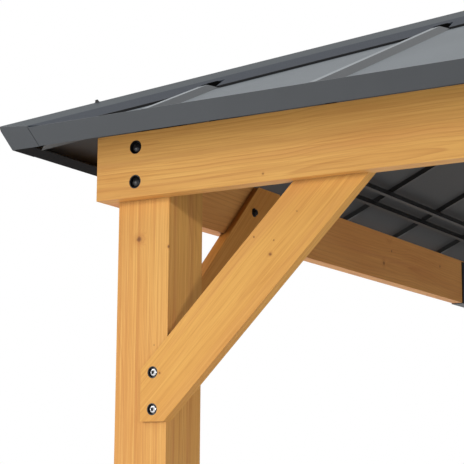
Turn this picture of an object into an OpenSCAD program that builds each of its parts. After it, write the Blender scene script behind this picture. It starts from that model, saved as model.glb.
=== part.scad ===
/* [Overall] */
// Width of the roof over the front eave
roof_w = 3658; // [2400:1:4400]
// Length of the roof over the side eave
roof_l = 4877; // [4600:1:6200]
// Clear height under the beams
clear_h = 2080; // [1800:1:2600]

/* [Posts and feet] */
// Side of a square post
post_w = 140; // [120:1:170]
// Level distance from the outer face of a post to the eave above it
overhang = 197; // [150:1:240]
// Thickness of a foot's base plate
base_t = 6; // [4:1:12]
// Side of a foot's square base plate
base_w = 230; // [220:1:300]
// Spacing of the anchor holes in a base plate
anchor_pitch = 190; // [185:1:200]
// Diameter of the anchor holes
anchor_d = 14; // [8:1:18]
// Height of the socket around a post
socket_h = 75; // [40:1:150]
// Wall of the socket around a post
socket_t = 4; // [3:0.5:6]
// Clearance between a post and its socket, each side
socket_gap = 0.5; // [0.2:0.1:1]

/* [Beams] */
// Height of a beam
beam_h = 151; // [140:1:200]
// Thickness of a beam
beam_t = 38; // [30:1:45]
// Height of the lower bolt above the underside of a beam
low_bolt = 36; // [24:1:45]
// Height of the upper bolt above the underside of a beam
high_bolt = 117; // [85:1:122]
// Diameter of the bolt holes through a beam
bolt_d = 11; // [8:1:14]
// Diameter of the counterbore that hides a bolt head
bore_d = 32; // [26:1:36]
// Depth of the counterbore
bore_depth = 13; // [8:1:18]
// Length of the steel splice at the middle of a side beam
splice_len = 304; // [240:1:400]
// Sheet thickness of the splice
splice_t = 3; // [2:0.5:5]
// Height of the cheeks of the splice
splice_h = 150; // [90:1:155]
// Diameter of the bolt holes through a splice
splice_bolt_d = 9; // [6:1:12]

/* [Knee braces] */
// Width of a brace across its slope
brace_w = 127; // [100:1:150]
// Thickness of a brace
brace_t = 28; // [24:1:36]
// Depth that a brace is let into the post
brace_let = 17; // [10:1:20]
// Distance from the outer face of the post to the foot of the brace
brace_in = 77; // [60:1:90]
// Depth of the brace below the beam
brace_drop = 507; // [400:1:650]
// Height of the brace behind the beam
brace_lap = 148; // [120:1:155]
// Diameter of the bolt holes in a brace
brace_bolt_d = 10; // [6:1:12]
// Diameter of the counterbores in the foot of a brace
brace_bore_d = 27; // [22:1:30]
// Depth of the counterbores in the foot of a brace
brace_bore_depth = 9; // [5:1:12]
// Distance from the foot of the brace to its lower bolt
brace_bolt_rise = 27; // [20:1:34]
// Spacing of the two bolts in the foot of a brace
brace_bolt_pitch = 82; // [60:1:84]

/* [Roof covering] */
// Pitch of the four slopes in degrees
pitch = 25; // [18:1:32]
// Height of the top edge of the eave trim above the tops of the beams
eave_rise = 1; // [0:1:10]
// Depth of the roof panel below the top of the eave trim
panel_drop = 12; // [10:1:20]
// Thickness of a roof panel
panel_t = 6; // [4:1:8]
// Depth of the eave trim, square to the slope
trim_h = 46; // [42:1:70]
// Sheet thickness of trims and caps
sheet_t = 3; // [2:0.5:4]
// Width of the lip under the eave trim
trim_lip = 30; // [15:1:40]
// Height of a seam rib above the panel
rib_h = 12.5; // [8:0.5:14]
// Width of a seam rib at its base
rib_base = 56; // [40:1:70]
// Width of a seam rib at its top
rib_top = 16; // [8:1:30]
// Distance from the corner of the eave to the first rib
rib_first = 400; // [330:1:480]
// Number of ribs on the front and back slopes
ribs_short = 8; // [5:1:9]
// Number of ribs on the side slopes
ribs_long = 12; // [9:1:14]

/* [Caps] */
// Level distance from the hip line to the crease of a cap
cap_crease = 53; // [40:1:58]
// Level distance from the hip line to the edge of a cap
cap_reach = 125; // [100:1:150]
// Height of the cap above the panels at its middle
cap_peak = 26; // [22:1:32]
// Height of the cap above the panel at its crease
cap_lift = 17; // [16:1:20]
// Height of the cap above the panel at its edge
cap_edge = 6; // [5:1:9]
// Level depth of a rib's notch from the edge of a cap
notch_depth = 42; // [25:1:60]
// Clearance between a rib and the notch that it passes through
notch_side = 6; // [3:1:10]
// Clearance between the top of a rib and its notch
notch_top = 2; // [1:1:4]
// Length of a corner cap along the eave
corner_len = 77; // [75:1:110]
// Distance that a corner cap hangs below the eave trim
corner_drop = 1; // [1:1:10]
// Gap between a corner cap and the end of the eave trim
corner_gap = 2; // [1:0.5:4]

/* [Roof frame] */
// Width of a hip rafter and of the ridge beam
hip_w = 50; // [40:1:60]
// Depth of a hip rafter below the panels
hip_h = 45; // [40:1:48]
// Level gap between the foot of a hip rafter and the lips of the corner cap
hip_gap = 4; // [2:1:20]
// Width of a rail
rail_w = 10; // [8:1:30]
// Depth of a rail
rail_h = 20; // [15:1:24]
// Distance up the slope from the eave to the outer rail
rail_first = 237; // [220:1:260]
// Spacing of the two rails above a beam
rail_pair = 58; // [50:1:70]
// Distance up the slope from the eave to the middle rail
rail_mid = 1120; // [700:1:1200]
// Width of a batten under a seam
batten_w = 12; // [8:1:50]
// Depth of a batten under a seam
batten_h = 14; // [8:1:16]
// Side of the plate that carries a hip rafter on its post
seat_w = 110; // [90:1:118]
// Thickness of the plate that carries a hip rafter
seat_t = 6; // [4:1:10]

/* [Hidden] */
$fn = 48;

// Colours
wood = [0.87, 0.66, 0.37];
dark_steel = [0.13, 0.13, 0.14];
sheet_grey = [0.58, 0.61, 0.63];
trim_grey = [0.36, 0.38, 0.40];

// The outer faces of the posts stand at post_x and post_y from the middle
post_x = roof_w / 2 - overhang;
post_y = roof_l / 2 - overhang;
beam_top = clear_h + beam_h;

// The roof is set out from the top edge of the eave trim and from the hip lines
eave_z = beam_top + eave_rise;
run = roof_w / 2;
half_ridge = (roof_l - roof_w) / 2;
ridge_z = eave_z + run * tan(pitch);
slope_len = run / cos(pitch);
hip_pitch = atan(tan(pitch) / sqrt(2));
hip_run = run * sqrt(2);
hip_len = hip_run / cos(hip_pitch);
panel_bottom = -panel_drop - panel_t;
batten_bottom = panel_bottom - batten_h;
rail_bottom = batten_bottom - rail_h;
// The rafter is kept 5 mm or more above the outer corner of the beams
hip_room = (overhang - beam_t) * sqrt(2) * tan(hip_pitch) + eave_rise + panel_bottom / cos(pitch);
hip_depth = min(hip_h, hip_room - 5);
hip_bottom = -panel_bottom / cos(pitch) + hip_depth;
tall = 400; // more than any height left over by a cut through the roof

// Each side of the roof: its turn from the front, its length and its distance from the middle
FRONT = [0, roof_w, roof_l / 2, ribs_short];
RIGHT = [90, roof_l, roof_w / 2, ribs_long];
BACK = [180, roof_w, roof_l / 2, ribs_short];
LEFT = [270, roof_l, roof_w / 2, ribs_long];
SIDES = [FRONT, RIGHT, BACK, LEFT];

// ---- posts, feet and beams ----

// Places the front left corner's piece at any corner: x_side and y_side are 0 for left and front
module at_corner(x_side, y_side) {
  mirror([x_side, 0, 0]) mirror([0, y_side, 0]) translate([-post_x, -post_y, 0]) children();
}

// Swaps the front and the left side of a corner
module swapped() {
  mirror([1, -1, 0]) children();
}

module post(x_side, y_side) {
  color(wood)
    at_corner(x_side, y_side)
      difference() {
        translate([0, 0, base_t]) cube([post_w, post_w, beam_top - base_t]);
        brace_blank();
        swapped() brace_blank();
      }
}

module foot() {
  socket_w = post_w + 2 * socket_gap;
  outer_w = socket_w + 2 * socket_t;
  translate([post_w / 2, post_w / 2, 0])
    difference() {
      union() {
        translate([-base_w / 2, -base_w / 2, 0]) cube([base_w, base_w, base_t]);
        translate([-outer_w / 2, -outer_w / 2, 0]) cube([outer_w, outer_w, base_t + socket_h]);
      }
      translate([-socket_w / 2, -socket_w / 2, base_t]) cube([socket_w, socket_w, socket_h + 1]);
      for (x = [-1, 1], y = [-1, 1])
        translate([x * anchor_pitch / 2, y * anchor_pitch / 2, -1]) cylinder(d = anchor_d, h = base_t + 2);
    }
}

module post_feet() {
  color(dark_steel)
    for (x_side = [0, 1], y_side = [0, 1])
      at_corner(x_side, y_side) foot();
}

// One counterbored hole, drilled from the plane y = 0 towards +y
module counterbore(depth) {
  rotate([-90, 0, 0]) {
    translate([0, 0, -1]) cylinder(d = bore_d, h = bore_depth + 1);
    cylinder(d = bolt_d, h = depth + 1);
  }
}

// The two holes where a beam is bolted to a post
module post_bolts() {
  for (z = [low_bolt, high_bolt])
    translate([post_w / 2, -beam_t, clear_h + z]) counterbore(beam_t);
}

module end_beam(y_side) {
  color(wood)
    difference() {
      at_corner(0, y_side)
        translate([-beam_t, -beam_t, clear_h]) cube([2 * (post_x + beam_t), beam_t, beam_h]);
      for (x_side = [0, 1]) at_corner(x_side, y_side) post_bolts();
    }
}

module side_beam(x_side, y_side) {
  color(wood)
    difference() {
      at_corner(x_side, y_side) translate([-beam_t, 0, clear_h]) cube([beam_t, post_y, beam_h]);
      at_corner(x_side, y_side) swapped() post_bolts();
      splice_holes();
    }
}

// The four holes through each splice
module splice_holes() {
  for (side = [-1, 1], end = [-1, 1], step = [1, 3])
    translate([side * post_x, end * step * splice_len / 8, clear_h + splice_h / 2])
      rotate([0, 90, 0]) cylinder(d = splice_bolt_d, h = 4 * beam_t, center = true);
}

module beam_splices() {
  color(dark_steel)
    for (x_side = [0, 1])
      mirror([x_side, 0, 0])
        difference() {
          translate([-post_x - beam_t - splice_t, -splice_len / 2, clear_h - splice_t])
            cube([beam_t + 2 * splice_t, splice_len, splice_h]);
          translate([-post_x - beam_t, -splice_len, clear_h]) cube([beam_t, 2 * splice_len, splice_h]);
          splice_holes();
        }
}

// ---- knee braces ----

// Outline of a brace, from the outer face of the post and the underside of the beam
module brace_outline() {
  foot_len = post_w - brace_in;
  under = post_w + brace_drop;
  over = under - brace_w * sqrt(2);
  polygon([
    [brace_in, -brace_drop],
    [post_w, -brace_drop],
    [under + brace_lap - foot_len, brace_lap - foot_len],
    [under + brace_lap - foot_len, brace_lap],
    [over + brace_lap, brace_lap],
    [brace_in, brace_in - over]
  ]);
}

// A brace of full thickness, cut back above the underside of the beam so that it laps behind the beam
module brace_blank() {
  difference() {
    translate([0, brace_let, clear_h]) rotate([90, 0, 0]) linear_extrude(brace_t) brace_outline();
    translate([0, -brace_t, clear_h]) cube([2 * brace_drop + brace_lap, brace_t, beam_h]);
  }
}

module drilled_brace() {
  front = brace_let - brace_t;
  lap_middle = post_w + brace_drop - brace_w / sqrt(2) + brace_lap / 2;
  difference() {
    brace_blank();
    for (rise = [brace_bolt_rise, brace_bolt_rise + brace_bolt_pitch])
      translate([(brace_in + post_w) / 2, front, clear_h - brace_drop + rise])
        rotate([-90, 0, 0]) {
          translate([0, 0, -1]) cylinder(d = brace_bore_d, h = brace_bore_depth + 1);
          cylinder(d = brace_bolt_d, h = brace_t + 1);
        }
    for (end = [-1, 1])
      translate([lap_middle + end * brace_bolt_pitch / 2, front, clear_h + brace_lap / 2])
        rotate([-90, 0, 0]) cylinder(d = brace_bolt_d, h = brace_t + 1);
  }
}

module end_brace(x_side, y_side) {
  color(wood) at_corner(x_side, y_side) drilled_brace();
}

module side_brace(x_side, y_side) {
  color(wood) at_corner(x_side, y_side) swapped() drilled_brace();
}

// ---- setting out of the roof ----

// On a slope x runs along the eave, y up the slope and z square to it, from the top of the eave trim
module on_slope(side) {
  rotate([0, 0, side[0]]) translate([0, -side[2], eave_z]) rotate([pitch, 0, 0]) children();
}

// All the space over one slope between two heights
module slope_slab(side, low, high) {
  on_slope(side) translate([-side[1] / 2, -tall, low]) cube([side[1], slope_len + 2 * tall, high - low]);
}

// The upright space over one slope, kept back from the hip lines and from the ridge
module sector(side, hip_inset, ridge_inset) {
  base = side[1] / 2 - hip_inset * sqrt(2);
  top_half = base - run + ridge_inset;
  eave = -side[2];
  tip = top_half > 0 ? [[top_half, eave + run - ridge_inset], [-top_half, eave + run - ridge_inset]]
                     : [[0, eave + base]];
  rotate([0, 0, side[0]])
    translate([0, 0, clear_h])
      linear_extrude(ridge_z + tall - clear_h)
        polygon(concat([[-base - tall, eave - tall], [base + tall, eave - tall]], tip));
}

// Everything above the underside of the panels
module over_panels() {
  for (side = SIDES) slope_slab(side, panel_bottom, tall);
}

// ---- roof covering ----

module roof_panel(side) {
  color(sheet_grey)
    intersection() {
      on_slope(side)
        translate([-side[1] / 2, sheet_t, panel_bottom]) cube([side[1], slope_len, panel_t]);
      sector(side, 0, 0);
    }
}

// Places along the eave of the seams of one slope
function seams(side) =
  let (span = side[1] - 2 * rib_first, count = side[3])
  [for (k = [0 : count - 1]) -span / 2 + k * span / (count - 1)];

// Seam ribs of one slope, made larger all round to cut the notches that they pass through
module rib_bars(side, grow_side, grow_top) {
  base = rib_base / 2 + grow_side;
  top = rib_top / 2 + grow_side;
  height = rib_h + grow_top;
  on_slope(side)
    for (x = seams(side))
      translate([x, slope_len + sheet_t, -panel_drop])
        rotate([90, 0, 0]) linear_extrude(slope_len)
          polygon([[-base, 0], [base, 0], [top, height], [-top, height]]);
}

module seam_ribs(side) {
  color(sheet_grey)
    intersection() {
      rib_bars(side, 0, 0);
      sector(side, cap_reach - notch_depth + sheet_t, cap_reach - notch_depth + sheet_t);
    }
}

// Notches for the ribs of one slope
module rib_notches(side) {
  intersection() {
    rib_bars(side, notch_side, notch_top);
    sector(side, cap_reach - notch_depth, cap_reach - notch_depth);
  }
}

// The ends of the trim run parallel to the hip lines, where the corner caps take over
module eave_trim(side) {
  color(trim_grey)
    intersection() {
      on_slope(side) eave_channel(-side[1] / 2, side[1], 0, trim_h);
      sector(side, corner_len / sqrt(2) + corner_gap, 0);
    }
}

// Face and lip of the eave trim
module eave_channel(start, long, rise, depth) {
  translate([start, 0, -depth]) cube([long, sheet_t, depth + rise]);
  translate([start, 0, -depth]) cube([long, trim_lip, sheet_t]);
}

// ---- caps ----

// Section across a cap, with the fall of the panels in that section and the shrink of its heights
module cap_section(fall, shrink) {
  panel = -panel_drop / cos(pitch) * shrink;
  peak = panel + cap_peak * shrink;
  crease = panel - cap_crease * fall + cap_lift * shrink;
  edge = panel - cap_reach * fall;
  inner = panel - (cap_reach - sheet_t) * fall;
  lip = cap_edge * shrink;
  half = [
    [cap_crease, crease], [cap_reach, edge + lip], [cap_reach, edge],
    [cap_reach - sheet_t, inner], [cap_reach - sheet_t, inner + lip - sheet_t], [cap_crease, crease - sheet_t]
  ];
  other_half = [for (k = [len(half) - 1 : -1 : 0]) [-half[k][0], half[k][1]]];
  polygon(concat([[0, peak]], half, [[0, peak - sheet_t]], other_half));
}

// On the front left hip x runs up the hip line from the corner of the eave
module on_hip() {
  translate([-roof_w / 2, -roof_l / 2, eave_z]) rotate([0, 0, 45]) rotate([0, -hip_pitch, 0]) children();
}

// The space over a hip cap, used to trim the corner cap to it
module over_hip_cap() {
  shrink = cos(hip_pitch);
  panel = -panel_drop / cos(pitch) * shrink;
  peak = panel + cap_peak * shrink;
  crease = panel - cap_crease * sin(hip_pitch) + cap_lift * shrink;
  reach = 3 * cap_crease;
  low = peak - (peak - crease) * reach / cap_crease;
  on_hip()
    translate([-tall, 0, 0])
      rotate([90, 0, 90]) linear_extrude(2 * tall)
        polygon([[0, peak], [reach, low], [reach, tall], [-reach, tall], [-reach, low]]);
}

module hip_cap(x_side, y_side) {
  far = roof_l;
  color(trim_grey)
    mirror([x_side, 0, 0]) mirror([0, y_side, 0])
      difference() {
        intersection() {
          on_hip()
            translate([-tall, 0, 0])
              rotate([90, 0, 90]) linear_extrude(hip_len + 2 * tall)
                cap_section(sin(hip_pitch), cos(hip_pitch));
          linear_extrude(2 * ridge_z)
            polygon([[0, -half_ridge], [0, -far], [-far, -far], [-far, -half_ridge + far * tan(22.5)]]);
        }
        for (side = [FRONT, LEFT]) {
          on_slope(side)
            translate([-side[1], -tall, -tall]) cube([2 * side[1], tall + sheet_t, 2 * tall]);
          rib_notches(side);
        }
      }
}

module ridge_cap() {
  far = 2 * cap_reach;
  color(trim_grey)
    difference() {
      intersection() {
        translate([0, roof_l / 2, ridge_z])
          rotate([90, 0, 0]) linear_extrude(roof_l) cap_section(tan(pitch), 1);
        linear_extrude(2 * ridge_z)
          polygon([
            [0, -half_ridge], [far, -half_ridge + far * tan(22.5)], [far, half_ridge - far * tan(22.5)],
            [0, half_ridge], [-far, half_ridge - far * tan(22.5)], [-far, -half_ridge + far * tan(22.5)]
          ]);
      }
      for (side = [LEFT, RIGHT]) rib_notches(side);
    }
}

module corner_caps() {
  color(trim_grey)
    for (x_side = [0, 1], y_side = [0, 1])
      mirror([x_side, 0, 0]) mirror([0, y_side, 0])
        difference() {
          union() {
            intersection() {
              on_slope(FRONT) eave_channel(-roof_w / 2, 2 * corner_len, cap_peak, trim_h + corner_drop);
              sector(FRONT, 0, 0);
            }
            intersection() {
              on_slope(LEFT)
                eave_channel(roof_l / 2 - 2 * corner_len, 2 * corner_len, cap_peak, trim_h + corner_drop);
              sector(LEFT, 0, 0);
            }
          }
          for (side = [FRONT, LEFT]) sector(side, corner_len / sqrt(2), 0);
          over_hip_cap();
        }
}

// ---- roof frame ----

// Hip rafter with the seat that stands on its post
module hip_rafter(x_side, y_side) {
  lip_reach = trim_lip * cos(pitch) + (trim_h + corner_drop) * sin(pitch);
  start = (lip_reach + hip_gap) * sqrt(2) + hip_w / 2;
  rise = tan(hip_pitch);
  middle = (overhang + post_w / 2) * sqrt(2);
  web_top = eave_z + middle * rise - hip_bottom + hip_depth / 2;
  color(dark_steel)
    mirror([x_side, 0, 0]) mirror([0, y_side, 0])
      union() {
        difference() {
          translate([-roof_w / 2, -roof_l / 2, 0]) rotate([0, 0, 45]) translate([0, hip_w / 2, eave_z])
            rotate([90, 0, 0]) linear_extrude(hip_w) polygon([
              [start, start * rise - hip_bottom], [hip_run, hip_run * rise - hip_bottom],
              [hip_run, hip_run * rise], [start, start * rise]
            ]);
          over_panels();
          translate([0, -roof_l, 0]) cube([roof_w, 2 * roof_l, 2 * ridge_z]);
        }
        translate([-roof_w / 2, -roof_l / 2, 0]) rotate([0, 0, 45]) translate([middle, 0, beam_top]) {
          translate([-seat_w / 2, -hip_w / 2, 0]) cube([seat_w, hip_w, web_top - beam_top]);
          rotate([0, 0, 45]) translate([-seat_w / 2, -seat_w / 2, 0]) cube([seat_w, seat_w, seat_t]);
        }
      }
}

module ridge_beam() {
  half = hip_w / 2;
  color(dark_steel)
    difference() {
      translate([0, 0, ridge_z - hip_bottom])
        linear_extrude(hip_bottom) polygon([
          [0, -half_ridge], [half, -half_ridge + half], [half, half_ridge - half],
          [0, half_ridge], [-half, half_ridge - half], [-half, -half_ridge + half]
        ]);
      over_panels();
    }
}

// Rails that span between the hip rafters, with a batten on them under each seam
module roof_rails(side) {
  color(dark_steel)
    intersection() {
      on_slope(side) {
        for (y = [rail_first, rail_first + rail_pair, rail_mid])
          translate([-side[1] / 2, y, rail_bottom]) cube([side[1], rail_w, rail_h]);
        for (x = seams(side))
          translate([x - batten_w / 2, sheet_t, batten_bottom]) cube([batten_w, slope_len, batten_h]);
      }
      sector(side, hip_w / 2, hip_w / 2);
    }
}

post(0, 0);  // post_front_left
post(1, 0);  // post_front_right
post(0, 1);  // post_back_left
post(1, 1);  // post_back_right
post_feet();
end_beam(0);  // front_beam
end_beam(1);  // back_beam
side_beam(0, 0);  // left_beam_front
side_beam(0, 1);  // left_beam_back
side_beam(1, 0);  // right_beam_front
side_beam(1, 1);  // right_beam_back
beam_splices();
end_brace(0, 0);  // front_brace_left
end_brace(1, 0);  // front_brace_right
end_brace(0, 1);  // back_brace_left
end_brace(1, 1);  // back_brace_right
side_brace(0, 0);  // left_brace_front
side_brace(0, 1);  // left_brace_back
side_brace(1, 0);  // right_brace_front
side_brace(1, 1);  // right_brace_back
hip_rafter(0, 0);  // hip_rafter_front_left
hip_rafter(1, 0);  // hip_rafter_front_right
hip_rafter(0, 1);  // hip_rafter_back_left
hip_rafter(1, 1);  // hip_rafter_back_right
ridge_beam();
roof_rails(FRONT);  // front_rails
roof_rails(RIGHT);  // right_rails
roof_rails(BACK);  // back_rails
roof_rails(LEFT);  // left_rails
roof_panel(FRONT);  // front_panel
roof_panel(RIGHT);  // right_panel
roof_panel(BACK);  // back_panel
roof_panel(LEFT);  // left_panel
seam_ribs(FRONT);  // front_ribs
seam_ribs(RIGHT);  // right_ribs
seam_ribs(BACK);  // back_ribs
seam_ribs(LEFT);  // left_ribs
eave_trim(FRONT);  // front_trim
eave_trim(RIGHT);  // right_trim
eave_trim(BACK);  // back_trim
eave_trim(LEFT);  // left_trim
corner_caps();
hip_cap(0, 0);  // hip_cap_front_left
hip_cap(1, 0);  // hip_cap_front_right
hip_cap(0, 1);  // hip_cap_back_left
hip_cap(1, 1);  // hip_cap_back_right
ridge_cap();
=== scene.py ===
import bpy
import bmesh
import math
from mathutils import Euler, Matrix, Vector


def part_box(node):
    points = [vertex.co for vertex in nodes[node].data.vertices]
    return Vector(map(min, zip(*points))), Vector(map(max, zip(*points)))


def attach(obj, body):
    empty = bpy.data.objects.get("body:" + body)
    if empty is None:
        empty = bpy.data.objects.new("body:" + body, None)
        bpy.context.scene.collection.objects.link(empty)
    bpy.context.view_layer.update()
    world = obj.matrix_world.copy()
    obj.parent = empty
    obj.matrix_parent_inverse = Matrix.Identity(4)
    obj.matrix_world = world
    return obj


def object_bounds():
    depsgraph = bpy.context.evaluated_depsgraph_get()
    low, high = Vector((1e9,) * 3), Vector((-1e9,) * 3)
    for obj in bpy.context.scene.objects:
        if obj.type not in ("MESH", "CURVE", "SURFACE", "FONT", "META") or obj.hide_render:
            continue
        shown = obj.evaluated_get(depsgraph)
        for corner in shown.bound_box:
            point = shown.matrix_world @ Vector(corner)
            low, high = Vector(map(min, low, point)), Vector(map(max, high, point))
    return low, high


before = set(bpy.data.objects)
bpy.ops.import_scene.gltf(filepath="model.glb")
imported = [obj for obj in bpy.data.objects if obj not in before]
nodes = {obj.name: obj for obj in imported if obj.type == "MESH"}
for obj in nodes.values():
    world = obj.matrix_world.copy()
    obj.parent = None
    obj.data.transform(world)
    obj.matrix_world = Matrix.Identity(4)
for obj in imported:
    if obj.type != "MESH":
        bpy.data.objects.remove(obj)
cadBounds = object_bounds()
print("frame loaded:", len(nodes), "nodes")


# small helpers for node trees

def newMaterial(name):
    material = bpy.data.materials.new(name)
    material.use_nodes = True
    tree = material.node_tree
    shader = tree.nodes["Principled BSDF"]
    return material, tree, shader


def addNode(tree, kind, inputs=None, **settings):
    node = tree.nodes.new(kind)
    for key, value in settings.items():
        setattr(node, key, value)
    for key, value in (inputs or {}).items():
        if isinstance(value, bpy.types.NodeSocket):
            tree.links.new(value, node.inputs[key])
        else:
            node.inputs[key].default_value = value
    return node


def calc(tree, operation, first, second=None, third=None):
    values = {k: v for k, v in enumerate((first, second, third)) if v is not None}
    return addNode(tree, "ShaderNodeMath", values, operation=operation).outputs[0]


def remap(tree, value, low, high, newLow=0.0, newHigh=1.0):
    inputs = {"Value": value, "From Min": low, "From Max": high, "To Min": newLow, "To Max": newHigh}
    return addNode(tree, "ShaderNodeMapRange", inputs, interpolation_type="SMOOTHSTEP").outputs[0]


def blendColors(tree, factor, first, second, mode="MIX"):
    node = addNode(tree, "ShaderNodeMix", data_type="RGBA", blend_type=mode)
    for socket, value in zip((node.inputs[0], node.inputs[6], node.inputs[7]), (factor, first, second)):
        if isinstance(value, bpy.types.NodeSocket):
            tree.links.new(value, socket)
        else:
            socket.default_value = value
    return node.outputs[2]


def noise(tree, vector, scale, detail=2.0, roughness=0.5):
    inputs = {"Vector": vector, "Scale": scale, "Detail": detail, "Roughness": roughness}
    return addNode(tree, "ShaderNodeTexNoise", inputs).outputs[0]


def stretched(tree, vector, scale):
    return addNode(tree, "ShaderNodeMapping", {"Vector": vector, "Scale": scale}).outputs[0]


# timber

woodLook = {
    "straw": (0.82, 0.480, 0.140, 1),    # the palest streaks
    "pale": (0.74, 0.400, 0.108, 1),     # early wood, warm honey
    "mid": (0.66, 0.320, 0.083, 1),
    "late": (0.44, 0.155, 0.038, 1),     # late wood lines
    "ruddy": (0.55, 0.210, 0.080, 1),    # reddish streaks
    "knot": (0.17, 0.062, 0.022, 1),
    # painted shade laid into closed corners between boards
    "crease": (0.05, 0.022, 0.008, 1),   # closed corners between boards
    "ringGap": 0.0052,                   # metres between growth rings
    "knotGap": 0.34,                     # rough distance between knots
    "roughness": 0.50,
    "specular": 0.18,
    # how fine each noise is along the grain and across it
    "ripple": (2.5, 22.0, 22.0),
    "fibre": (7.0, 420.0, 420.0),
    "streak": (1.1, 110.0, 110.0),
    "cloud": (1.4, 6.0, 6.0),
    "strawStreak": (0.7, 95.0, 95.0),
    "ruddyStreak": (0.8, 26.0, 26.0),
    # how much of each tone is laid over the base
    "streakShare": 0.36,
    "strawShare": 0.55,
    "ruddyShare": 0.40,
    "fibreShare": 0.34,
    "haloShare": 0.40,
    "knotShare": 0.85,
}


def overlay(tree, base, share, mask, color):
    return blendColors(tree, calc(tree, "MULTIPLY", mask, share), base, color)


def timberMaterial(name, turn, pith, seed, knots=(), tint=(1, 1, 1), figure=0.5, streaks=1.0,
                   ringGap=woodLook["ringGap"]):
    # the grain runs along x once the object's coordinates are turned
    look = woodLook
    material, tree, shader = newMaterial(name)
    place = addNode(tree, "ShaderNodeTexCoord").outputs["Object"]
    grain = addNode(tree, "ShaderNodeMapping", {"Vector": place, "Rotation": turn}).outputs[0]
    centred = addNode(tree, "ShaderNodeVectorMath", {0: grain, 1: pith}, operation="SUBTRACT").outputs[0]
    shifted = addNode(tree, "ShaderNodeVectorMath", {0: grain, 1: (seed * 3.17, seed * 1.31, seed * 2.23)},
                      operation="ADD").outputs[0]

    # knots: a few of the cells of a coarse grid hold one
    cells = stretched(tree, shifted, (0.7, 1.6, 1.6))
    cellInputs = {"Vector": cells, "Scale": 1 / look["knotGap"], "Randomness": 1.0}
    cell = addNode(tree, "ShaderNodeTexVoronoi", cellInputs)
    cellTone = addNode(tree, "ShaderNodeSeparateColor", {"Color": cell.outputs["Color"]})
    knotSize = calc(tree, "MULTIPLY", calc(tree, "POWER", cellTone.outputs[0], 5.0), 0.085)
    knotEdge = calc(tree, "SUBTRACT", cell.outputs["Distance"], knotSize)
    knotHeart = remap(tree, knotEdge, 0.006, -0.006)
    knotHalo = remap(tree, knotEdge, 0.13, -0.01)

    # knots with a place of their own, as (x, y, z, radius) of the frame
    for x, y, z, radius in knots:
        span = addNode(tree, "ShaderNodeVectorMath", {0: place, 1: (x, y, z)}, operation="DISTANCE")
        away = calc(tree, "MULTIPLY_ADD", noise(tree, place, 140.0, 2.0), 0.004, span.outputs["Value"])
        heart = remap(tree, away, radius + 0.0035, radius * 0.3 + 0.002)
        knotHeart = calc(tree, "MAXIMUM", knotHeart, heart)
        knotHalo = calc(tree, "MAXIMUM", knotHalo, remap(tree, away, radius * 5 + 0.002, radius))

    # growth rings about a pith that wanders along the board
    parts = addNode(tree, "ShaderNodeSeparateXYZ", {"Vector": centred})
    sway = noise(tree, stretched(tree, shifted, (0.9, 0.0, 0.0)), 1.0, 2.0)
    swayY = calc(tree, "MULTIPLY_ADD", sway, 0.10, parts.outputs[1])
    lift = noise(tree, stretched(tree, shifted, (1.3, 0.3, 0.3)), 1.0, 3.0)
    swayZ = calc(tree, "MULTIPLY_ADD", lift, 0.085, parts.outputs[2])
    square = calc(tree, "MULTIPLY_ADD", swayY, swayY, calc(tree, "MULTIPLY", swayZ, swayZ))
    radius = calc(tree, "SQRT", square)
    ripple = noise(tree, stretched(tree, shifted, look["ripple"]), 1.0, 3.0, 0.6)
    radius = calc(tree, "MULTIPLY_ADD", ripple, 0.0045, radius)
    radius = calc(tree, "MULTIPLY_ADD", calc(tree, "POWER", knotHalo, 3.0), 0.020, radius)
    turns = calc(tree, "DIVIDE", radius, ringGap)
    phase = calc(tree, "FRACT", turns)
    lateLine = calc(tree, "POWER", phase, 3.2)
    lateLine = calc(tree, "MULTIPLY", lateLine, remap(tree, phase, 1.0, 0.90))
    year = addNode(tree, "ShaderNodeCombineXYZ", {0: calc(tree, "FLOOR", turns)}).outputs[0]
    yearTone = noise(tree, year, 3.7, 0.0)

    # fine fibres and slow changes of tone
    fibre = noise(tree, stretched(tree, shifted, look["fibre"]), 1.0, 3.0, 0.65)
    streak = noise(tree, stretched(tree, shifted, look["streak"]), 1.0, 2.0, 0.6)
    cloud = noise(tree, stretched(tree, shifted, look["cloud"]), 1.0, 3.0, 0.5)
    straw = noise(tree, stretched(tree, shifted, look["strawStreak"]), 1.7, 2.0, 0.55)
    ruddy = noise(tree, stretched(tree, shifted, look["ruddyStreak"]), 1.0, 2.0, 0.5)

    base = blendColors(tree, remap(tree, cloud, 0.32, 0.70), look["pale"], look["mid"])
    base = overlay(tree, base, look["streakShare"] * streaks, remap(tree, streak, 0.42, 0.74), look["late"])
    base = overlay(tree, base, look["strawShare"] * streaks, remap(tree, straw, 0.53, 0.66), look["straw"])
    base = overlay(tree, base, look["ruddyShare"] * streaks, remap(tree, ruddy, 0.52, 0.74), look["ruddy"])
    lineShare = remap(tree, yearTone, 0.25, 0.8, 0.2 * figure, figure)
    base = overlay(tree, base, lineShare, lateLine, look["late"])
    base = overlay(tree, base, look["fibreShare"], remap(tree, fibre, 0.48, 0.74), look["late"])
    base = overlay(tree, base, look["haloShare"], calc(tree, "POWER", knotHalo, 4.0), look["late"])
    base = overlay(tree, base, look["knotShare"], knotHeart, look["knot"])
    base = blendColors(tree, 1.0, base, tint + (1,), "MULTIPLY")
    # painted shade: closed corners between boards are darkened through an AO mask
    crease = addNode(tree, "ShaderNodeAmbientOcclusion", {"Distance": 0.030}, samples=8).outputs["AO"]
    base = blendColors(tree, remap(tree, crease, 0.75, 0.25, 0.0, 0.75), base, look["crease"])
    tree.links.new(base, shader.inputs["Base Color"])

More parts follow.
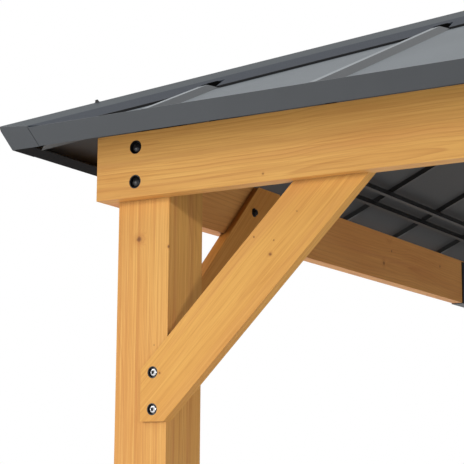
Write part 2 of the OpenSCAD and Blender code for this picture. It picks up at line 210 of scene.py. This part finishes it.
    height = calc(tree, "MULTIPLY_ADD", fibre, 0.5, calc(tree, "MULTIPLY", lateLine, -0.35))
    bump = addNode(tree, "ShaderNodeBump", {"Height": height, "Strength": 0.25, "Distance": 0.0006})
    tree.links.new(bump.outputs[0], shader.inputs["Normal"])
    gloss = remap(tree, fibre, 0.3, 0.8, look["roughness"] - 0.05, look["roughness"] + 0.12)
    tree.links.new(gloss, shader.inputs["Roughness"])
    shader.inputs["Specular IOR Level"].default_value = look["specular"]
    return material


# coated steel

def hipDistance(tree):
    # level distance from the nearest hip line or from the ridge, found from the roof's own outline
    high = cadBounds[1]
    spot = addNode(tree, "ShaderNodeSeparateXYZ", {0: addNode(tree, "ShaderNodeTexCoord").outputs["Object"]})
    fromRidge = calc(tree, "ABSOLUTE", spot.outputs[0])
    insideX = calc(tree, "SUBTRACT", high[0], fromRidge)
    insideY = calc(tree, "SUBTRACT", high[1], calc(tree, "ABSOLUTE", spot.outputs[1]))
    pastRidge = calc(tree, "SUBTRACT", insideX, insideY)
    fromHip = calc(tree, "MULTIPLY", calc(tree, "ABSOLUTE", pastRidge), math.sqrt(0.5))
    # past the ends of the ridge the end slopes begin, and only their hips count
    return calc(tree, "MINIMUM", fromHip, calc(tree, "MAXIMUM", fromRidge, pastRidge))


def coatedSteel(name, color, roughness, fleck=0.06, waviness=0.0, backCoatAndShade=None, specular=0.4, capShadeReach=0.0,
                capShadeTones=None, flankShade=None):
    material, tree, shader = newMaterial(name)
    place = addNode(tree, "ShaderNodeTexCoord").outputs["Object"]
    peel = noise(tree, place, 900.0, 2.0, 0.6)
    mottle = noise(tree, place, 3.0, 3.0, 0.55)
    dark = tuple(c * (1 - fleck) for c in color) + (1,)
    light = tuple(min(1, c * (1 + fleck)) for c in color) + (1,)
    tone = blendColors(tree, remap(tree, mottle, 0.3, 0.7), dark, light)
    normal = addNode(tree, "ShaderNodeNewGeometry").outputs["Normal"]
    upward = addNode(tree, "ShaderNodeSeparateXYZ", {0: normal}).outputs[2]
    gloss = specular
    if backCoatAndShade:
        # faces that look down get a darker tone: on the roof sheet it is the back coat, made darker as
        # painted shade; on the trim it is painted shade only
        turnedShade, backGloss = remap(tree, upward, -0.55, -0.8), 0.04
        tone = blendColors(tree, turnedShade, tone, backCoatAndShade + (1,))
        gloss = calc(tree, "MULTIPLY_ADD", turnedShade, backGloss - specular, specular)
    if capShadeTones:
        # painted shade: the outer strip of a cap is painted darker and bluer than its crown, and its turned
        # edge is painted near black as a shadow line
        away = hipDistance(tree)
        crease, soft = capShadeTones["crease"], 0.0008
        onStrip = remap(tree, away, crease - soft, crease + soft)
        tone = blendColors(tree, onStrip, tone, capShadeTones["shadedStrip"] + (1,))
        onEdge = calc(tree, "GREATER_THAN", away, capShadeTones["edge"])
        tone = blendColors(tree, onEdge, tone, capShadeTones["turnedShade"] + (1,))
    if flankShade:
        # painted shade: the sides of a rib are painted darker than its crest, which lies in the slope of the
        # roof
        steep = remap(tree, calc(tree, "ABSOLUTE", upward), 0.895, 0.86)
        tone = blendColors(tree, steep, tone, flankShade + (1,))
    if capShadeReach:
        # painted shade: the upper face of the sheet is painted near black and without gloss under the caps
        onTop = calc(tree, "GREATER_THAN", upward, 0.0)
        underCapShaded = calc(tree, "MULTIPLY", calc(tree, "LESS_THAN", hipDistance(tree), capShadeReach), onTop)
        tone = blendColors(tree, underCapShaded, tone, steelLook["underCapShade"] + (1,))
        gloss = calc(tree, "MULTIPLY", gloss, calc(tree, "SUBTRACT", 1.0, underCapShaded))
    tree.links.new(tone, shader.inputs["Base Color"])
    sheen = remap(tree, peel, 0.3, 0.7, roughness - 0.04, roughness + 0.06)
    tree.links.new(sheen, shader.inputs["Roughness"])
    wave = noise(tree, place, 2.2, 1.0, 0.4)
    height = calc(tree, "MULTIPLY_ADD", wave, waviness, calc(tree, "MULTIPLY", peel, 0.02))
    bump = addNode(tree, "ShaderNodeBump", {"Height": height, "Strength": 0.35, "Distance": 0.004})
    tree.links.new(bump.outputs[0], shader.inputs["Normal"])
    if isinstance(gloss, bpy.types.NodeSocket):
        tree.links.new(gloss, shader.inputs["Specular IOR Level"])
    else:
        shader.inputs["Specular IOR Level"].default_value = gloss
    return material


# each finish is a colour and a roughness, and the other rows are tones laid over one of them
steelLook = {
    "frame": ((0.018, 0.018, 0.018), 0.42),
    "panel": ((0.135, 0.154, 0.170), 0.50),
    # painted highlight: the ribs are the same sheet as the panel, painted lighter so their crests look lit
    "rib": ((0.200, 0.225, 0.245), 0.42),
    # painted shade on the sides of the ribs
    "ribFlanks": (0.060, 0.067, 0.074),
    # back coat of the sheet, made darker as painted shade on faces that look down
    "sheetBackAndShade": (0.085, 0.086, 0.087),
    # painted shade under the caps, near black
    "underCapShade": (0.004, 0.004, 0.004),
    "underCapShadeReach": 0.118,      # from the hip line or the ridge, in metres
    "trim": ((0.055, 0.060, 0.066), 0.50),
    # painted shade on the down-facing faces of the trim
    "trimUndersideShade": (0.012, 0.012, 0.013),
    "cap": ((0.062, 0.073, 0.082), 0.50),
    # painted shade: darker, bluer outer strip of the caps and a near black turned edge
    "capShadeTones": {"crease": 0.053, "edge": 0.1242, "shadedStrip": (0.014, 0.021, 0.034),
                 "turnedShade": (0.006, 0.006, 0.007)},
    "bolt": ((0.010, 0.010, 0.011), 0.27),
    "nickel": ((0.70, 0.70, 0.71), 0.22),
}
sheetBackAndShade, underCapShadeReach = steelLook["sheetBackAndShade"], steelLook["underCapShadeReach"]
frameSteel = coatedSteel("blackPowderCoat", *steelLook["frame"])
panelSteel = coatedSteel("roofSheetCoatPaintedShade", *steelLook["panel"], waviness=0.25, backCoatAndShade=sheetBackAndShade, specular=0.2,
                         capShadeReach=underCapShadeReach)
ribSteel = coatedSteel("ribCoat", *steelLook["rib"], backCoatAndShade=sheetBackAndShade, specular=0.3, capShadeReach=underCapShadeReach,
                       flankShade=steelLook["ribFlanks"])
trimSteel = coatedSteel("trimCoatPaintedShade", *steelLook["trim"], backCoatAndShade=steelLook["trimUndersideShade"], specular=0.3)
capSteel = coatedSteel("capCoatPaintedShade", *steelLook["cap"], specular=0.12, capShadeTones=steelLook["capShadeTones"])
boltSteel = coatedSteel("boltBlack", *steelLook["bolt"])


# finishes on the frame's own pieces

def finish(names, material):
    for name in names:
        slots = nodes[name].data.materials
        slots.clear()
        slots.append(material)


def soften(name, width, segments=2):
    bevel = nodes[name].modifiers.new("easedEdges", "BEVEL")
    bevel.width = width
    bevel.segments = segments
    bevel.limit_method = "ANGLE"
    bevel.angle_limit = math.radians(35)
    bevel.harden_normals = False


def named(*words):
    return [n for n in nodes if any(w in n for w in words)]


quarter = math.pi / 2
grainTurns = {
    "post": (0, quarter, 0),
    "endBeam": (0, 0, 0),
    "sideBeam": (0, 0, -quarter),
}
finish(named("panel"), panelSteel)
finish(named("_ribs"), ribSteel)
finish(named("hip_cap", "ridge_cap"), capSteel)
finish(named("trim", "corner_caps"), trimSteel)
finish(named("rafter", "rails", "ridge_beam", "post_feet", "beam_splices"), frameSteel)


def pithBeside(name, turn, across, deep):
    # the pith lies outside the board, given from the board's own middle in grain coordinates
    low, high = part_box(name)
    middle = (Vector(low) + Vector(high)) / 2
    spot = Euler(turn, "XYZ").to_matrix() @ middle
    return (0.0, spot.y + across, spot.z + deep)


# knots as offsets from the low corner of their own board: x, y, z and radius, in metres
pinKnots = {
    "post_front_left": [
        (0.0580, 0.0000, 1.9830, 0.0075),
        (0.1400, 0.0000, 1.9600, 0.0030),
        (0.1045, 0.0000, 1.7380, 0.0010),
    ],
    "front_beam": [
        (0.4458, 0.0000, 0.0173, 0.0020),
    ],
    "front_brace_left": [
        (0.3423, 0.0000, 0.3820, 0.0016),
        (0.3336, 0.0000, 0.3520, 0.0036),
        (0.2930, 0.0000, 0.3930, 0.0016),
        (0.3992, 0.0000, 0.4400, 0.0016),
        (0.0506, 0.0000, 0.1067, 0.0026),
    ],
    "left_beam_front": [
        (0.0380, 1.4972, 0.1014, 0.0030),
        (0.0380, 1.4377, 0.0540, 0.0060),
        (0.0380, 1.8922, 0.1044, 0.0040),
    ],
}


def boardKnots(name):
    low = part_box(name)[0]
    return [(low[0] + x, low[1] + y, low[2] + z, radius) for x, y, z, radius in pinKnots.get(name, ())]


# the pith is given across the board and through it, and the easing is the width of the bevel
timberKinds = {
    "post": {"pith": (0.11, 0.16), "ease": 0.003},
    "endBeam": {"pith": (0.050, -0.020), "ease": 0.0025, "figure": 0.62, "streaks": 0.60, "ringGap": 0.0085},
    "sideBeam": {"pith": (0.055, 0.02), "ease": 0.0025, "figure": 0.55, "streaks": 0.45, "ringGap": 0.0085,
                 "tint": (1.12, 1.03, 1.16)},
    "endBrace": {"pith": (0.09, 0.03), "ease": 0.0025, "figure": 0.42, "streaks": 0.55, "ringGap": 0.0065,
                 "tint": (0.98, 0.98, 0.86)},
    "sideBrace": {"pith": (0.09, 0.03), "ease": 0.0025, "figure": 0.42, "streaks": 0.55, "ringGap": 0.0065,
                  "tint": (0.96, 0.82, 0.66)},
}


def braceTurn(name, alongX):
    rising = name.endswith("_left") or name.endswith("_front")
    slope = 1 if rising else -1
    if alongX:
        return (0, slope * math.radians(45), 0)
    # level the brace, then turn y onto x
    level = Matrix.Rotation(slope * math.radians(-45), 3, "X")
    return tuple((Matrix.Rotation(-quarter, 3, "Z") @ level).to_euler("XYZ"))


def timberBoards():
    # each board with its kind and the turn of its grain
    posts = [(n, "post", grainTurns["post"]) for n in nodes if n.startswith("post_") and n != "post_feet"]
    endBeams = [(n, "endBeam", grainTurns["endBeam"]) for n in ("front_beam", "back_beam")]
    sideBeams = [(n, "sideBeam", grainTurns["sideBeam"]) for n in named("left_beam", "right_beam")]
    braces = []
    for name in named("brace"):
        alongX = name.startswith(("front", "back"))
        braces.append((name, "endBrace" if alongX else "sideBrace", braceTurn(name, alongX)))
    return posts + endBeams + sideBeams + braces


for seed, (name, kind, turn) in enumerate(timberBoards(), start=1):
    look = dict(timberKinds[kind])
    pith = pithBeside(name, turn, *look.pop("pith"))
    soften(name, look.pop("ease"))
    finish([name], timberMaterial("cedarCreaseShade_" + name, turn, pith, seed, boardKnots(name), **look))
print("timber and steel finished")


# bolts

def ringPoints(radius, count, height, turn=0.0):
    angles = [turn + 2 * math.pi * k / count for k in range(count)]
    return [Vector((radius * math.cos(a), radius * math.sin(a), height)) for a in angles]


def addLathe(mesh, place, profile, count=32):
    # profile is (radius, height) from the axis outwards and back to it
    rings = []
    for radius, height in profile:
        if radius < 1e-6:
            rings.append([mesh.verts.new(place @ Vector((0, 0, height)))])
        else:
            rings.append([mesh.verts.new(place @ point) for point in ringPoints(radius, count, height)])
    for lower, upper in zip(rings, rings[1:]):
        for k in range(count):
            corners = [lower[k % len(lower)], lower[(k + 1) % len(lower)],
                       upper[(k + 1) % len(upper)], upper[k % len(upper)]]
            corners = list(dict.fromkeys(corners))
            if len(corners) > 2:
                mesh.faces.new(corners)


def addHexHead(mesh, place, flats, low, high, dome=0.0):
    # a hexagon with its top corners chamfered to a circle
    corner, chamfer, crown, turn = flats / math.sqrt(3), flats * 0.12, flats * 0.47, 0.3
    levels = [(corner, low), (corner, high - chamfer), (crown, high)]
    rings = []
    for radius, height in levels:
        rings.append([mesh.verts.new(place @ point) for point in ringPoints(radius, 6, height, turn)])
    for lower, upper in zip(rings, rings[1:]):
        for k in range(6):
            mesh.faces.new([lower[k], lower[(k + 1) % 6], upper[(k + 1) % 6], upper[k]])
    top = mesh.verts.new(place @ Vector((0, 0, high + dome)))
    foot = mesh.verts.new(place @ Vector((0, 0, low)))
    for k in range(6):
        mesh.faces.new([rings[-1][k], rings[-1][(k + 1) % 6], top])
        mesh.faces.new([rings[0][(k + 1) % 6], rings[0][k], foot])


def washerProfile(inner, outer, low, high, edge=0.0006):
    return [(inner, low), (outer - edge, low), (outer, low + edge), (outer, high - edge),
            (outer - edge, high), (inner, high), (inner, low)]


def meshPiece(name, build, material):
    data = bpy.data.meshes.new(name)
    mesh = bmesh.new()
    build(mesh)
    bmesh.ops.recalc_face_normals(mesh, faces=mesh.faces)
    mesh.to_mesh(data)
    mesh.free()
    piece = bpy.data.objects.new(name, data)
    bpy.context.scene.collection.objects.link(piece)
    data.materials.append(material)
    for face in data.polygons:
        face.use_smooth = True
    data.set_sharp_from_angle(angle=math.radians(35))
    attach(piece, "root")


def facing(spot, direction):
    # a place whose own z points along direction
    return Matrix.Translation(spot) @ Vector(direction).to_track_quat("Z", "Y").to_matrix().to_4x4()


beamBolt = {
    "fromCorner": 0.070,      # from the outer face of the post to the bolts
    "heights": (0.036, 0.117),
    "pocket": 0.013,
    "cup": 0.0157,            # thin lining of the bore, just below its mouth
    "wall": 0.0014,
    "wallFoot": 0.0022,       # the lining's wall where it meets the washer
    "mouthGap": 0.0006,       # from the lining to the face of the wood
    "washerThick": 0.002,
    "flats": 0.021,
    "head": 0.0080,
    "dome": 0.0028,
}


def cornerSigns():
    return [(sx, sy) for sx in (-1, 1) for sy in (-1, 1)]


# outer faces of the posts and beams, as distances from the middle of the plan
postLow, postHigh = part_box("post_front_left")
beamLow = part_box("front_beam")[0]
postX, postY = -postLow[0], -postLow[1]
postWidth = postHigh[0] - postLow[0]
beamFace = -beamLow[1]
sideFace = -beamLow[0]
underBeam = beamLow[2]


def buildBeamBolts(mesh):
    b = beamBolt
    for sx, sy in cornerSigns():
        for height in b["heights"]:
            z = underBeam + height
            spots = [((sx * (postX - b["fromCorner"]), sy * (beamFace - b["pocket"]), z), (0, sy, 0)),
                     ((sx * (sideFace - b["pocket"]), sy * (postY - b["fromCorner"]), z), (sx, 0, 0))]
            for spot, direction in spots:
                place = facing(spot, direction)
                cup, mouth, washer = b["cup"], b["pocket"] - b["mouthGap"], b["washerThick"]
                addLathe(mesh, place, [(0, 0.0), (cup, 0.0), (cup, mouth), (cup - b["wall"], mouth),
                                       (cup - b["wallFoot"], washer), (0, washer)], 40)
                addHexHead(mesh, place, b["flats"], washer, washer + b["head"], b["dome"])


meshPiece("beam_bolts", buildBeamBolts, boltSteel)

braceBolt = {
    "fromPost": 0.1085,       # from the outer face of the post
    "below": (0.398, 0.480),
    "proud": 0.011,
    "pocket": 0.009,
    "cup": 0.0132,
    "washer": 0.0016,
    "head": 0.0082,
    "headTop": 0.0072,
    "chamfer": 0.0014,
    "socket": 0.0040,
    "socketFloor": 0.0034,
    "lip": (0.0004, 0.0006, 0.0002),    # its width, its crest and its inner edge, above the head
    "wall": 0.0012,
    "wallFoot": 0.0018,
    "mouthGap": 0.0006,
}


def socketHead(mesh, place, b):
    rim, socket, low, top, chamfer = b["head"], b["socket"], b["washer"], b["headTop"], b["chamfer"]
    wide, crest, inner = b["lip"]
    profile = [(socket, low), (rim, low), (rim, top - chamfer), (rim - chamfer, top),
               (socket + wide, top + crest), (socket, top + inner), (socket, low)]
    addLathe(mesh, place, profile)


def socketCup(mesh, place, b):
    # black lining of the bore, and the dark bottom of the socket
    cup, mouth, low = b["cup"], b["pocket"] - b["mouthGap"], b["washer"]
    socket, floor = b["socket"], b["socketFloor"]
    addLathe(mesh, place, [(0, 0.0), (cup, 0.0), (cup, mouth), (cup - b["wall"], mouth),
                           (cup - b["wallFoot"], low), (0, low)])
    addLathe(mesh, place, [(0, low), (socket, low), (socket, floor), (0, floor)], 6)


def buildBraceBolts(mesh, shape=socketHead):
    b = braceBolt
    for sx, sy in cornerSigns():
        for drop in b["below"]:
            z = underBeam - drop
            outward = b["proud"] - b["pocket"]
            spots = [((sx * (postX - b["fromPost"]), sy * (postY + outward), z), (0, sy, 0)),
                     ((sx * (postX + outward), sy * (postY - b["fromPost"]), z), (sx, 0, 0))]
            for spot, direction in spots:
                shape(mesh, facing(spot, direction), b)


braceSteel = coatedSteel("boltNickel", *steelLook["nickel"])
braceSteel.node_tree.nodes["Principled BSDF"].inputs["Metallic"].default_value = 1.0
meshPiece("brace_bolts", buildBraceBolts, braceSteel)
meshPiece("brace_bolt_cups", lambda mesh: buildBraceBolts(mesh, socketCup), boltSteel)

lapBolt = {
    "apart": 0.082,
    "alongBeam": 0.6312,      # middle of the lap, from the outer face of the post
    "height": 0.074,
    "inside": 0.017,
    "hole": 0.004,
    "washer": 0.0120,
    "washerThick": 0.0018,
    "flats": 0.015,
    "head": 0.0067,
}


def buildLapBolts(mesh):
    b = lapBolt
    for sx, sy in cornerSigns():
        for end in (-0.5, 0.5):
            along = b["alongBeam"] + end * b["apart"]
            z = underBeam + b["height"]
            spots = [((sx * (postX - along), sy * (postY - b["inside"]), z), (0, -sy, 0)),
                     ((sx * (postX - b["inside"]), sy * (postY - along), z), (-sx, 0, 0))]
            for spot, direction in spots:
                place = facing(spot, direction)
                addLathe(mesh, place, washerProfile(b["hole"], b["washer"], 0.0, b["washerThick"]))
                addHexHead(mesh, place, b["flats"], b["washerThick"], b["washerThick"] + b["head"])


meshPiece("lap_bolts", buildLapBolts, boltSteel)

spliceBolt = {
    "hole": 0.004,
    "washer": 0.0105,
    "washerThick": 0.0015,
    "flats": 0.014,
    "head": 0.0062,
    "cheek": 0.003,           # thickness of the inner plate
}


def buildSpliceBolts(mesh):
    b = spliceBolt
    low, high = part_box("beam_splices")
    length = high[1] - low[1]
    middleZ = underBeam + (high[2] - low[2]) / 2
    for sx in (-1, 1):
        for end in (-1, 1):
            for step in (1, 3):
                y = end * step * length / 8
                for x, way in ((high[0], sx), (postX - b["cheek"], -sx)):
                    place = facing((sx * x, y, middleZ), (way, 0, 0))
                    addLathe(mesh, place, washerProfile(b["hole"], b["washer"], 0.0, b["washerThick"]))
                    addHexHead(mesh, place, b["flats"], b["washerThick"], b["washerThick"] + b["head"])


meshPiece("splice_bolts", buildSpliceBolts, boltSteel)

anchorBolt = {
    "pitch": 0.190,
    "plate": 0.006,
    "hole": 0.0065,
    "washer": 0.014,
    "washerThick": 0.0025,
    "flats": 0.019,
    "nut": 0.010,
    "stud": 0.006,
    "studFoot": 0.002,
    "studTop": 0.024,
    "chamfer": 0.001,
}


def buildAnchorBolts(mesh):
    b = anchorBolt
    stud, foot, top, chamfer = b["stud"], b["studFoot"], b["studTop"], b["chamfer"]
    studProfile = [(0, foot), (stud, foot), (stud, top - chamfer), (stud - chamfer, top), (0, top)]
    for sx, sy in cornerSigns():
        middleX, middleY = sx * (postX - postWidth / 2), sy * (postY - postWidth / 2)
        for dx, dy in cornerSigns():
            spot = (middleX + dx * b["pitch"] / 2, middleY + dy * b["pitch"] / 2, b["plate"])
            place = Matrix.Translation(spot)
            addLathe(mesh, place, washerProfile(b["hole"], b["washer"], 0.0, b["washerThick"]))
            addHexHead(mesh, place, b["flats"], b["washerThick"], b["washerThick"] + b["nut"])
            addLathe(mesh, place, studProfile, 24)


meshPiece("anchor_bolts", buildAnchorBolts, boltSteel)

capScrew = {
    "fromEave": 0.161,        # level distance from the outer edge of the roof
    "pitch": 25.0,            # of the roof, in degrees
    "washer": 0.0055,
    "washerThick": 0.0009,
    "shank": 0.004,
    "flats": 0.0070,
    "head": 0.0048,
}


def buildCapScrews(mesh):
    # one on the crest of each hip cap, near its lower end
    b = capScrew
    high = cadBounds[1]
    slope = math.tan(math.radians(b["pitch"]))
    washer, thick, shank = b["washer"], b["washerThick"], -b["shank"]
    for sx, sy in cornerSigns():
        x, y = high[0] - b["fromEave"], high[1] - b["fromEave"]
        place = facing((sx * x, sy * y, high[2] - x * slope), (sx * slope, sy * slope, 2.0))
        addLathe(mesh, place, [(0, shank), (washer, shank), (washer, thick), (0, thick)], 24)
        addHexHead(mesh, place, b["flats"], thick, thick + b["head"])


meshPiece("cap_screws", buildCapScrews, boltSteel)
print("bolts made")


# floor, light and camera

stage = {
    "floorSize": 60.0,
    "floorTone": 0.94,
    "ambient": 0.46,
    "keyFrom": (0.87, -0.62, 0.16),      # where the low key light stands, as a direction
    "keyPower": 0.62,
    "keyAngle": 4,                       # degrees, for how soft its shadows are
    "highFrom": (-0.60, -0.30, 1.0),
    "highPower": 1.15,                   # wide soft light from above, for the roof and the floor's bounce
    "highAngle": 50,
    "softPlace": (-3.4, -6.2, 1.7),      # large soft lamp in front of the left corner
    "softAim": (-0.9, -2.2, 1.9),
    "softSize": 2.8,
    "softPower": 76.0,
}


def buildFloor():
    bpy.ops.mesh.primitive_plane_add(size=stage["floorSize"])
    floor = bpy.context.object
    floor.name = "studio_floor"
    material, tree, shader = newMaterial("paleFloor")
    shader.inputs["Base Color"].default_value = (stage["floorTone"],) * 3 + (1,)
    shader.inputs["Roughness"].default_value = 0.9
    floor.data.materials.append(material)


def buildWorld():
    world = bpy.data.worlds.new("studioWorld")
    bpy.context.scene.world = world
    world.use_nodes = True
    tree = world.node_tree
    tree.nodes.clear()
    rays = addNode(tree, "ShaderNodeLightPath")
    seen = calc(tree, "MAXIMUM", rays.outputs["Is Camera Ray"],
                calc(tree, "MAXIMUM", rays.outputs["Is Glossy Ray"], rays.outputs["Is Transmission Ray"]))
    strength = calc(tree, "MULTIPLY_ADD", seen, 1.0 - stage["ambient"], stage["ambient"])
    light = addNode(tree, "ShaderNodeBackground", {"Color": (1, 1, 1, 1), "Strength": strength})
    output = addNode(tree, "ShaderNodeOutputWorld")
    tree.links.new(light.outputs[0], output.inputs[0])


def buildSun(name, direction, power, softness):
    lamp = bpy.data.lights.new(name, "SUN")
    lamp.energy = power
    lamp.angle = math.radians(softness)
    holder = bpy.data.objects.new(name, lamp)
    bpy.context.scene.collection.objects.link(holder)
    holder.rotation_euler = Vector(direction).to_track_quat("Z", "Y").to_euler()


def buildSoftLamp():
    lamp = bpy.data.lights.new("softLamp", "AREA")
    lamp.shape = "DISK"
    lamp.size = stage["softSize"]
    lamp.energy = stage["softPower"]
    holder = bpy.data.objects.new("softLamp", lamp)
    bpy.context.scene.collection.objects.link(holder)
    holder.matrix_world = facing(stage["softPlace"], Vector(stage["softPlace"]) - Vector(stage["softAim"]))


cameraSetup = {
    "place": (0.267, -4.8545, 1.439),
    "turnLeft": 31.346,      # degrees
    "tiltUp": 10.106,
    "roll": 0.377,
    "lens": 109.43,
}


def buildCamera():
    c = cameraSetup
    data = bpy.data.cameras.new("viewCamera")
    data.lens = c["lens"]
    data.sensor_width = 36.0
    data.clip_end = 200.0
    holder = bpy.data.objects.new("viewCamera", data)
    bpy.context.scene.collection.objects.link(holder)
    turn = Matrix.Rotation(math.radians(c["turnLeft"]), 4, "Z")
    tilt = Matrix.Rotation(math.radians(90 + c["tiltUp"]), 4, "X")
    roll = Matrix.Rotation(math.radians(c["roll"]), 4, "Z")
    holder.matrix_world = Matrix.Translation(c["place"]) @ turn @ tilt @ roll
    bpy.context.scene.camera = holder


buildFloor()
buildWorld()
buildSun("keySun", stage["keyFrom"], stage["keyPower"], stage["keyAngle"])
buildSun("highSun", stage["highFrom"], stage["highPower"], stage["highAngle"])
buildSoftLamp()
buildCamera()
bpy.context.scene.view_settings.view_transform = "Standard"
print("stage set")
